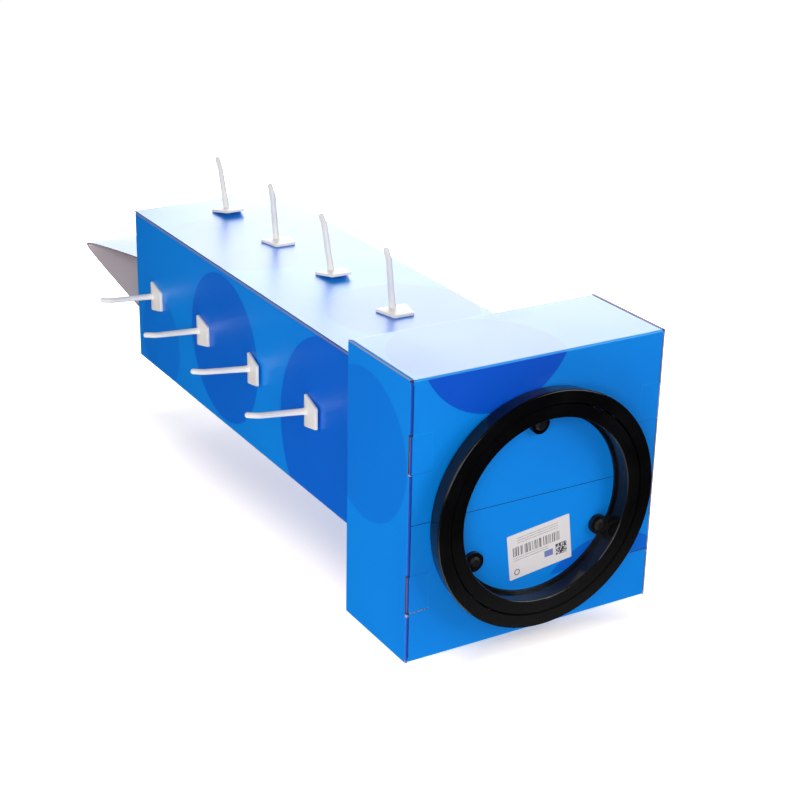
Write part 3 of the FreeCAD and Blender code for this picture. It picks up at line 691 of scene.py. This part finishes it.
def header_finish():
    material, start, place, (x, y, z) = new_material("header card")
    depth = start.make("ShaderNodeAttribute", {"attribute_name": "depth"}, out="Fac")
    inside = depth > 0.98
    cut = band(depth, 0.02, 0.98)
    fibre = start.noise(place, scale=700.0, detail=4.0)
    tone = start.noise(place, scale=14.0)
    front = y < HEADER_MIDDLE
    field = front & disc(x, z, (0.020, COLUMN_TOP + 0.060), 0.046)
    field = field | ((1.0 - front) & disc(x, z, (-0.030, COLUMN_TOP + 0.075), 0.040))
    printed = (field * 0.55).blend(PRINT_BLUE, PRINT_DEEP)
    worn = (z > COLUMN_TOP + HEADER_RISE - 0.0022) & fibre.ramp(0.45, 0.6)
    printed = (worn * 0.5).blend(printed, FIBRE)
    bare = (tone.ramp(0.3, 0.7) * 0.6 + (fibre - 0.5) * 0.4).blend(HEADER_BARE, HEADER_SHADE)
    colour = inside.blend(printed, bare)
    colour = cut.blend(colour, fibre.ramp(0.4, 0.6).blend(RIM_LIGHT, RIM_DARK))
    plain = inside | cut
    normal = start.bump(tone, distance=0.0015)
    normal = start.bump(fibre, distance=0.00003, strength=0.5, normal=normal)
    finish_surface(start, {
        "Base Color": colour,
        "Roughness": 0.30 + plain * 0.5 + (tone - 0.5) * 0.06,
        "Coat Weight": (1.0 - plain) * (0.9 + tone * 0.1),
        "Coat Roughness": FILM_ROUGHNESS,
        "Normal": normal,
    })
    return material


new_piece("header_sheet", header_points, header_faces, header_finish(), "stand",
          "header_card", header_depth)
print("header card rises", round(HEADER_RISE, 4), "m over the column")

# %% [markdown]
# ## The hooks
# Each hook is one moulding: a plate with softly rounded edges, a rod that tapers towards its bent
# tip and flares where it meets the plate, and a neck with a lock bar behind the card. The plate is a
# stack of rings, each a rounded trapezoid. The rod is a circle carried along a path, with a radius
# that changes on the way. All sixteen are the same shape, turned to their face of the column and
# leaned as loosely as the real ones sit.

# %% The rod
PLATE_THICK = 0.0025
ROD_LOW = -0.0036  # the rod's axis under the plate's top edge
ROD_SLOPE, TIP_SLOPE = 10.0, 31.0  # degrees by which the rod and its tip rise
BEND_START, BEND_LENGTH = 0.0395, 0.0046
ROD_LENGTH, ROD_END = 0.0506, 0.0022  # up to the rounded end, and that end
ROD_RADIUS, ROD_TAPER = 0.0029, 0.00045
FLARE, FLARE_LENGTH = 0.0010, 0.0014


def carried(path, radii, around=20):
    """A round tube: path + r (cos a side + sin a above), the path lying in the plane x = 0."""
    along = np.gradient(path, axis=0)
    along /= np.linalg.norm(along, axis=1, keepdims=True)
    side = np.array([1.0, 0.0, 0.0])
    above = np.cross(side, along)
    angle = np.linspace(0.0, FULL_TURN, around, endpoint=False)
    spread = np.cos(angle)[None, :, None] * side + np.sin(angle)[None, :, None] * above[:, None, :]
    return rings_to_shell(path[:, None, :] + radii[:, None, None] * spread)


def rod():
    """Straight, then a bend, then a straight tip: the slope goes from 10 to 31 degrees.

    The radius is 2.9 mm falling to 2.45 mm, plus a flare 1.0 exp(-length / 1.4) mm at the plate, and
    the last 2.2 mm are a half circle."""
    rounding = np.sin(np.linspace(0.0, np.pi / 2.0, 9))[1:]
    length = np.concatenate([np.linspace(0.0, 0.008, 16), np.linspace(0.009, ROD_LENGTH, 34),
                             ROD_LENGTH + ROD_END * rounding])
    step = np.diff(length, prepend=0.0)
    bent = np.clip((length - BEND_START) / BEND_LENGTH, 0.0, 1.0)
    slope = np.radians(ROD_SLOPE + (TIP_SLOPE - ROD_SLOPE) * bent)
    y = -PLATE_THICK * 0.6 - np.cumsum(np.cos(slope) * step)
    z = ROD_LOW + np.cumsum(np.sin(slope) * step)
    radii = ROD_RADIUS - ROD_TAPER * length / length[-1] + FLARE * np.exp(-length / FLARE_LENGTH)
    end = np.clip((length - ROD_LENGTH) / ROD_END, 0.0, 1.0)
    radii = radii * np.sqrt(1.0 - end ** 2)
    radii[0] = 0.0
    return carried(np.stack([np.zeros_like(y), y, z], axis=-1), radii)


print("rod", round((ROD_LENGTH + ROD_END) * 1000, 1), "mm long")

# %% The plate
PLATE_TOP, PLATE_FOOT = 0.0130, 0.0082  # half the plate's widths, without its rounded corners
PLATE_LOW, PLATE_HIGH = -0.0222, -0.0018  # the same for its height
CORNER_ROUND = 0.0018
EDGE_ROUND = 0.0007
CROWN = 0.00015  # how far the middle of the plate's face stands proud


def rounded_outline(corners, radius, spread):
    """A loop round the corners, each scaled towards the middle by spread and given an arc."""
    corners = np.array(corners)
    middle = corners.mean(axis=0)
    after = np.roll(corners, -1, axis=0) - corners
    before = np.roll(after, 1, axis=0)
    first = np.arctan2(-before[:, 0], before[:, 1])
    turn = (np.arctan2(-after[:, 0], after[:, 1]) - first) % FULL_TURN
    angle = first[:, None] + turn[:, None] * np.linspace(0.0, 1.0, 7)
    arc = np.stack([np.cos(angle), np.sin(angle)], axis=-1) * radius
    return ((middle + (corners - middle) * spread)[:, None, :] + arc).reshape(-1, 2)


def slab(corners, rings):
    """A closed slab: each ring is (spread of the corners, corner radius, place along Y)."""
    loops = []
    for spread, radius, back in rings:
        flat = rounded_outline(corners, radius, spread)
        loops.append(np.stack([flat[:, 0], np.full(len(flat), back), flat[:, 1]], axis=-1))
    return rings_to_shell(np.array(loops))


def plate():
    """A trapezoid 30 and 19.5 mm wide and 24 mm high, with soft edges and a face 0.15 mm proud."""
    corners = [(-PLATE_TOP, PLATE_HIGH), (-PLATE_FOOT, PLATE_LOW),
               (PLATE_FOOT, PLATE_LOW), (PLATE_TOP, PLATE_HIGH)]
    face = -PLATE_THICK
    rings = [(0.0, 0.0, 0.0), (0.96, 0.0012, 0.0), (1.0, CORNER_ROUND, -0.0003),
             (1.0, CORNER_ROUND, face + EDGE_ROUND)]
    for turn in np.radians([30.0, 60.0, 90.0]):
        radius = CORNER_ROUND - EDGE_ROUND * (1.0 - math.cos(turn))
        rings.append((1.0, radius, face + EDGE_ROUND * (1.0 - math.sin(turn))))
    rings += [(0.7, 0.0010, face - 0.0001), (0.35, 0.0005, face - CROWN), (0.0, 0.0, face - CROWN)]
    return slab(corners, rings)


# %% The neck and the lock bar
NECK_DROP = 0.007  # from the plate's top edge to the neck's axis
NECK_RADIUS = 0.0017
BAR_HALF, BAR_HIGH = 0.0055, 0.0012  # half the bar's length and height, without its rounding
BAR_FRONT, BAR_BACK = 0.0037, 0.0060
BAR_EDGE = 0.0002


def neck():
    """A round tube through the card's slit. Its second ring is beside the first, for a flat end."""
    y = np.array([-0.0008, -0.000799, 0.0002, 0.0044, 0.0046])
    radii = np.array([0.0, NECK_RADIUS, NECK_RADIUS, NECK_RADIUS, 0.0])
    return carried(np.stack([np.zeros(5), y, np.full(5, -NECK_DROP)], axis=-1), radii, 16)


def lock_bar():
    """A bar behind the card, turned across the slit, with softened edges."""
    corners = [(-BAR_HALF, -NECK_DROP + BAR_HIGH), (-BAR_HALF, -NECK_DROP - BAR_HIGH),
               (BAR_HALF, -NECK_DROP - BAR_HIGH), (BAR_HALF, -NECK_DROP + BAR_HIGH)]
    return slab(corners, [(0.0, 0.0, BAR_FRONT), (1.0, 0.0004, BAR_FRONT),
                          (1.0, 0.0005, BAR_FRONT + BAR_EDGE), (1.0, 0.0005, BAR_BACK - BAR_EDGE),
                          (1.0, 0.0004, BAR_BACK), (0.0, 0.0, BAR_BACK)])


hook_points, hook_faces = joined([rod(), plate(), neck(), lock_bar()])
print("a hook has", len(hook_faces), "faces")

# %% [markdown]
# The hooks are moulded in off-white plastic. It isn't a mirror: its skin is satin, with faint flow
# marks, so a soft noise drives the roughness, and a finer one the bump.

# %% Finish of the hooks
PLASTIC_LIGHT = (0.84, 0.815, 0.80)
PLASTIC_SHADE = (0.79, 0.765, 0.75)


def hook_finish():
    material, start, place, _ = new_material("moulded white plastic")
    flow = start.noise(place, scale=60.0)
    skin = start.noise(place, scale=1800.0, detail=2.0)
    colour = flow.ramp(0.35, 0.75).blend(PLASTIC_LIGHT, PLASTIC_SHADE)
    normal = start.bump(skin, distance=0.00001, strength=0.5)
    normal = start.bump(flow, distance=0.00012, strength=0.4, normal=normal)
    finish_surface(start, {
        "Base Color": colour,
        "Roughness": 0.40 + (flow - 0.5) * 0.12 + (skin - 0.5) * 0.05,
        "Normal": normal,
    })
    return material


white_plastic = hook_finish()
print(white_plastic.name, "made of", len(white_plastic.node_tree.nodes), "shader nodes")

# %% Places of the hooks
FACES = ("front", "right", "back", "left")
# How far each plate leans out at its foot, in degrees, from the lowest row up
LEAN = {"front": (0, 8, 0, 9), "right": (2, 0, 4, 0), "back": (0, 3, 0, 5), "left": (4, 6, 0, 0)}
FRONT_SET = 0.0035  # how far right of the middle the front and back hooks stand
LOWEST_HOOK = 0.247  # the top edge of the lowest plates
HOOK_PITCH = 0.109
HOOK_SEAT = 0.00002  # air between a plate and the column
for quarter, face in enumerate(FACES):
    turn = Matrix.Rotation(quarter * math.pi / 2.0, 4, "Z")
    beside = FRONT_SET if face in ("front", "back") else 0.0
    for row, lean in enumerate(LEAN[face]):
        height = LOWEST_HOOK + HOOK_PITCH * row
        seat = turn @ Vector((0.0, -COLUMN_HALF - HOOK_SEAT, height)) + Vector((beside, 0.0, 0.0))
        placing = Matrix.Translation(seat) @ turn @ Matrix.Rotation(-math.radians(lean), 4, "X")
        grid = np.array(placing)
        points = hook_points @ grid[:3, :3].T + grid[:3, 3]
        node = f"hook_{face}_{row + 1}"
        new_piece(f"moulded_{node}", points, hook_faces, white_plastic, "stand", node)
print("hooks", sum(len(leans) for leans in LEAN.values()))

# %% [markdown]
# ## The turntable
# Both rings are moulded in glossy black plastic. Black gloss shows only what it mirrors, so its look
# comes from the lamps, from fine turning marks round the ring, and from dust, which is lighter and
# duller. The same dull grey is also painted on as a sheen that grows towards +Y, where the face
# mirrors pale surroundings. The distance from the ring's middle gives the marks. The rings are simple
# turned shapes, so the imported ones stay, and only their finish is new.

# %% Rings, balls and rivets
RING_BLACK = (0.0022, 0.0021, 0.0026)
RIVET_BLACK = (0.004, 0.004, 0.005)
BALL_GREY = (0.03, 0.03, 0.032)
# The grey of dust, also painted on as a sheen that grows towards +Y
DUST_AND_SHEEN = (0.16, 0.15, 0.155)
TURNING_PITCH = 0.0011  # from mark to mark
RING_SHINE = 0.34
ring_low, ring_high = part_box("turntable_outer_ring")
RING_Y = (ring_low.y + ring_high.y) / 2.0


def ring_finish(name, base, gloss):
    material, start, place, (x, y, z) = new_material(name)
    away = (x ** 2.0 + (y - RING_Y) ** 2.0) ** 0.5
    turning = (away * (FULL_TURN / TURNING_PITCH)).sine()
    specks = start.noise(place, scale=420.0, detail=6.0, roughness=0.7).ramp(0.67, 0.76)
    haze = start.noise(place, scale=22.0, detail=4.0)
    # painted sheen: towards +Y the rings turn lighter and greyer, for the pale surroundings that the
    # face mirrors there
    painted_sheen = (y - RING_Y).ramp(0.0, 0.11) * 0.065
    colour = (specks * 0.3 + haze.ramp(0.4, 0.8) * 0.02 + painted_sheen).blend(base, DUST_AND_SHEEN)
    normal = start.bump(turning, distance=0.000002, strength=0.5)
    normal = start.bump(haze, distance=0.0004, strength=0.25, normal=normal)
    finish_surface(start, {
        "Base Color": colour,
        "Roughness": gloss + haze.ramp(0.35, 0.75) * 0.10 + specks * 0.35,
        "Specular IOR Level": RING_SHINE,
        "Normal": normal,
    })
    return material


black_plastic = ring_finish("glossy black plastic", RING_BLACK, 0.13)
for name in ("turntable_outer_ring", "turntable_inner_ring"):
    dress(name, black_plastic)
dress("lug_rivets", ring_finish("black rivet", RIVET_BLACK, 0.48))
dress("bearing_balls", ring_finish("bearing ball", BALL_GREY, 0.3))

# %% [markdown]
# ## The sticker
# A plain white sticker is on the bottom flap, set a little askew. It has generic print only: a block
# of upright bars, grey rules that stand for small text, a block of random squares, a plain blue field
# and a ring. Each has its place in the sticker's own coordinates, which are turned as it is.

# %% Sticker
STICKER_TURN = math.radians(-7.0)
sticker_low, sticker_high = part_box("label")
STICKER_X = (sticker_low.x + sticker_high.x) / 2.0
STICKER_Y = (sticker_low.y + sticker_high.y) / 2.0
# Left, right, bottom and top of each printed block, from the sticker's middle
BARS = (-0.025, 0.019, 0.0, 0.0080)
UPPER_RULES = (-0.020, 0.018, 0.0098, 0.0165)
LOWER_RULES = (-0.025, 0.008, -0.0050, -0.0012)
SQUARES = (0.0145, 0.0250, -0.0130, -0.0030)
BADGE = (0.0040, 0.0120, -0.0110, -0.0055)
RULE_PITCH = 0.0021
RING_MIDDLE, RING_RADIUS = (-0.022, -0.0140), 0.0022
INK = (0.05, 0.045, 0.06)
BADGE_BLUE = (0.07, 0.12, 0.45)
PAPER_SHADE = (0.74, 0.70, 0.715)
PAPER_LIGHT = (0.80, 0.765, 0.78)


def block(across, up, limits):
    """1 inside a rectangle, and 0 outside it."""
    left, right, bottom, top = limits
    return band(across, left, right) & band(up, bottom, top)


def sticker_finish():
    material, start, place, (x, y, z) = new_material("paper sticker")
    dx = x - STICKER_X
    dy = y - STICKER_Y
    across = dx * math.cos(STICKER_TURN) + dy * math.sin(STICKER_TURN)
    up = dx * math.sin(STICKER_TURN) - dy * math.cos(STICKER_TURN)
    code = start.make("ShaderNodeTexNoise", {"noise_dimensions": "1D"},
                      {"W": across * 1100.0, "Scale": 1.0, "Detail": 1.0})
    bars = code.ramp(0.50, 0.53) & block(across, up, BARS)
    rule = (up * (FULL_TURN / RULE_PITCH)).sine() > 0.2
    words = start.make("ShaderNodeTexNoise", {"noise_dimensions": "2D"},
                       {"Vector": place, "Scale": 1500.0, "Detail": 1.0}).ramp(0.42, 0.50)
    text = block(across, up, UPPER_RULES) | block(across, up, LOWER_RULES)
    grid = start.make("ShaderNodeTexVoronoi", {"feature": "F1", "distance": "CHEBYCHEV"},
                      {"Vector": place, "Scale": 900.0, "Randomness": 1.0}).ramp(0.35, 0.40)
    away = ((across - RING_MIDDLE[0]) ** 2.0 + (up - RING_MIDDLE[1]) ** 2.0) ** 0.5
    ring = line(away, RING_RADIUS, 0.0008)
    ink = bars | (rule & words & text) * 0.5 | (grid & block(across, up, SQUARES)) | ring * 0.7
    fibre = start.noise(place, scale=1200.0, detail=4.0)
    colour = ink.blend(fibre.blend(PAPER_SHADE, PAPER_LIGHT), INK)
    colour = (block(across, up, BADGE) * 0.85).blend(colour, BADGE_BLUE)
    finish_surface(start, {
        "Base Color": colour,
        "Roughness": 0.62 + (fibre - 0.5) * 0.1,
        "Normal": start.bump(fibre, distance=0.00002, strength=0.5),
    })
    return material


dress("label", sticker_finish())

# %% [markdown]
# ## Floor and table top
# The stand has two surfaces round it. It stands on the floor, and behind its back is the pale table
# top on which it lies in the photograph, which touches the box's back lower edge. Both are seen only
# from their own side, so neither hides the stand from a camera behind it, and they let light through.
# Each adds a glow to a pale surface that takes the stand's shadow. The glow is a little warm, to
# balance the blue light that the stand throws on the surface. Near the stand it is weak, and with
# distance it grows until the background is plain white. On the table it also stays weak in a strip
# behind the column and under the box, which paints a shadow along the stand's outline.

# %% Stage
STAGE_WHITE = (0.80, 0.80, 0.80, 1.0)
GLOW_TINT = (1.0, 0.92, 0.89, 1.0)
CLOSE_GLOW, NEAR_GLOW, FAR_GLOW = 0.29, 0.40, 1.16  # on the table, on the floor, and far away
GLOW_FROM, GLOW_TO = 0.30, 0.85  # where the glow starts to grow, and is full
GLOW_HEIGHT = 0.3  # the height of the middle of that growth
# A painted shadow on the table: a strip where its glow stays weak, with a soft edge, ending sooner
# under the box
PAINTED_SHADOW_HALF, PAINTED_SHADOW_REACH = 0.03, 0.13  # the strip of shadow on the table, and its soft edge
PAINTED_SHADOW_BELOW = 1.8  # how much sooner that shadow ends under the box
TABLE_LEAN = math.radians(3.8)


def stage_finish(name, upright):
    """The glow grows with the distance from the stand's middle.

    An upright sheet also has a painted shadow: its glow stays weak in a strip close beside the stand's
    own outline."""
    material, start, place, (x, y, z) = new_material(name)
    away = ((x * x + y * y + (z - GLOW_HEIGHT) ** 2.0) ** 0.5).ramp(GLOW_FROM, GLOW_TO)
    near = NEAR_GLOW
    if upright:
        # painted shadow: the glow stays weak in a strip behind the column, from the box's edge up to
        # the column's top
        beside = (abs(x) - PAINTED_SHADOW_HALF) | ((BOX_FLOOR - z) * PAINTED_SHADOW_BELOW) | (z - COLUMN_TOP)
        away = away | beside.ramp(0.0, PAINTED_SHADOW_REACH)
        near = CLOSE_GLOW
    shadowed = start.make("ShaderNodeBsdfDiffuse", {}, {"Color": STAGE_WHITE})
    strength = away * (FAR_GLOW - near) + near
    glow = start.make("ShaderNodeEmission", {}, {"Color": GLOW_TINT, "Strength": strength})
    both = start.make("ShaderNodeAddShader", {}, {0: shadowed, 1: glow})
    clear = start.make("ShaderNodeBsdfTransparent")
    seen = start.make("ShaderNodeLightPath", out="Is Camera Ray")
    back = start.make("ShaderNodeNewGeometry", out="Backfacing")
    surface = start.make("ShaderNodeMixShader", {}, {0: seen * (1.0 - back), 1: clear, 2: both})
    start.make("ShaderNodeOutputMaterial", {}, {"Surface": surface})
    return material


def stage_sheet(name, centre, along, up, upright, half=4.0):
    """A flat square facing along x up, from centre + a along + b up, a and b from -half to half."""
    ends = np.array([(-half, -half), (half, -half), (half, half), (-half, half)])
    corners = np.array(centre) + ends[:, :1] * np.array(along) + ends[:, 1:] * np.array(up)
    mesh = bpy.data.meshes.new(name)
    mesh.from_pydata(corners.tolist(), [], [(0, 1, 2, 3)])
    mesh.materials.append(stage_finish(f"{name} white", upright))
    sheet = bpy.data.objects.new(name, mesh)
    scene.collection.objects.link(sheet)
    print(name, "is", 2.0 * half, "m wide")


stage_sheet("floor", (0.0, 0.0, -0.0003), (1.0, 0.0, 0.0), (0.0, 1.0, 0.0), False)
stage_sheet("table", (0.0, BOX_Y + 0.0004, BOX_FLOOR), (1.0, 0.0, 0.0),
            (0.0, math.sin(TABLE_LEAN), math.cos(TABLE_LEAN)), True)

# %% [markdown]
# ## Light
# The key softbox is where the stand's front faces mirror it towards the camera, which is why they
# look almost white there, and a smaller one above it is near where the header's sloping front leg
# mirrors. Three more light the left side and the underside, and a last one stands for the light
# that a table throws back. A pale world fills in the rest. To the camera the world is plain white,
# and in gloss it is nearly dark, so the black ring and the film mirror little but the lamps.

# %% Lamps
LAMPS_AIM = Vector((0.0, -0.04, 0.30))


def softbox(name, towards, distance, width, height, radiance):
    """A flat lamp facing the stand. A lamp of this kind with a power P and an area A has the
    radiance P / (pi A), so the power is worked out from how bright its face should be."""
    data = bpy.data.lights.new(name, "AREA")
    data.shape = "RECTANGLE"
    data.size = width
    data.size_y = height
    data.energy = radiance * math.pi * width * height
    lamp = bpy.data.objects.new(name, data)
    lamp.visible_camera = False
    place = LAMPS_AIM + Vector(towards).normalized() * distance
    lamp.matrix_world = facing(place, LAMPS_AIM, Vector((0, 0, 1)))
    scene.collection.objects.link(lamp)
    print(name, round(data.energy, 1), "W")


softbox("key softbox", (0.56, -0.38, 0.735), 1.9, 1.5, 1.6, 4.3)
softbox("top softbox", (0.29, 0.07, 0.95), 1.78, 0.7, 0.7, 1.9)
softbox("fill softbox", (-0.55, -0.30, -0.78), 2.2, 1.3, 1.3, 4.3)
softbox("left softbox", (-0.93, -0.30, 0.05), 2.2, 1.3, 1.3, 3.2)
softbox("low softbox", (0.62, -0.42, -0.66), 2.2, 1.2, 1.2, 4.6)
softbox("table bounce", (-0.45, 0.75, -0.45), 1.0, 1.0, 1.0, 1.7)

# %% World
WORLD_LIGHT = 0.20
WORLD_IN_GLOSS = 0.005
world = bpy.data.worlds.new("studio")
scene.world = world
world.use_nodes = True
world.node_tree.nodes.clear()
sky = Shade(world.node_tree)
path = sky.make("ShaderNodeLightPath").socket.node
to_camera = Shade(world.node_tree, path.outputs["Is Camera Ray"])
to_gloss = Shade(world.node_tree, path.outputs["Is Glossy Ray"])
strength = WORLD_LIGHT + to_camera * (1.0 - WORLD_LIGHT) - to_gloss * (WORLD_LIGHT - WORLD_IN_GLOSS)
glow = sky.make("ShaderNodeBackground", {}, {"Color": (1.0, 1.0, 1.0, 1.0), "Strength": strength})
sky.make("ShaderNodeOutputWorld", {}, {"Surface": glow})
print("world", WORLD_LIGHT)
